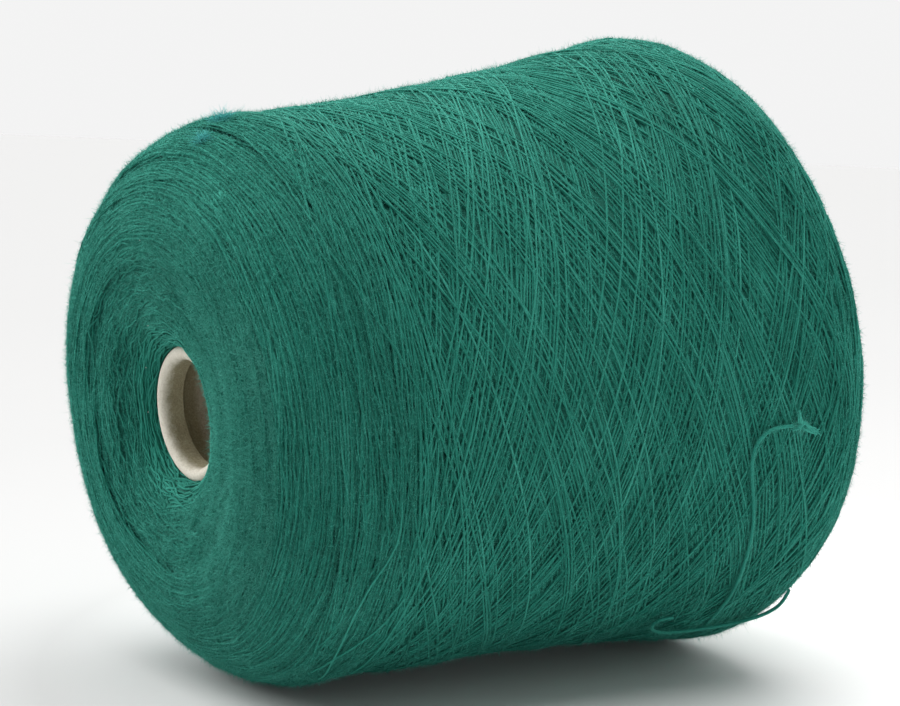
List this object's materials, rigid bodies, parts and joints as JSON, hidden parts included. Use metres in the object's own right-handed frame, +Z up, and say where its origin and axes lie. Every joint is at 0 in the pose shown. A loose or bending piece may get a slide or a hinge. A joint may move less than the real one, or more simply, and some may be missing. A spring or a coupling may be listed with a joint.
{
  "type": "cone of yarn",
  "caption": "Cross-wound cone of woollen yarn on a tapered paper cone with a rolled-in nose, lying on its side, its outer end knotted and hanging loose.",
  "frame": {"origin": "on the floor under the middle of the lying cone, without its loose yarn ends", "axes": "+X towards the cone's base, +Y to the side, +Z up; the cone's own axis rises 6.07 degrees towards +X, so that both shoulders of the package touch the floor"},
  "size_m": [0.1852, 0.1613, 0.1597],
  "materials": {
    "cone_board": "matte",
    "green_yarn": "matte"
  },
  "bodies": {
    "root": {"paper_cone": "cone_board", "wound_package": "green_yarn", "transfer_tail": "green_yarn", "running_end": "green_yarn", "slack_loop": "green_yarn", "tail_knot": "green_yarn"}
  },
  "joints": []
}
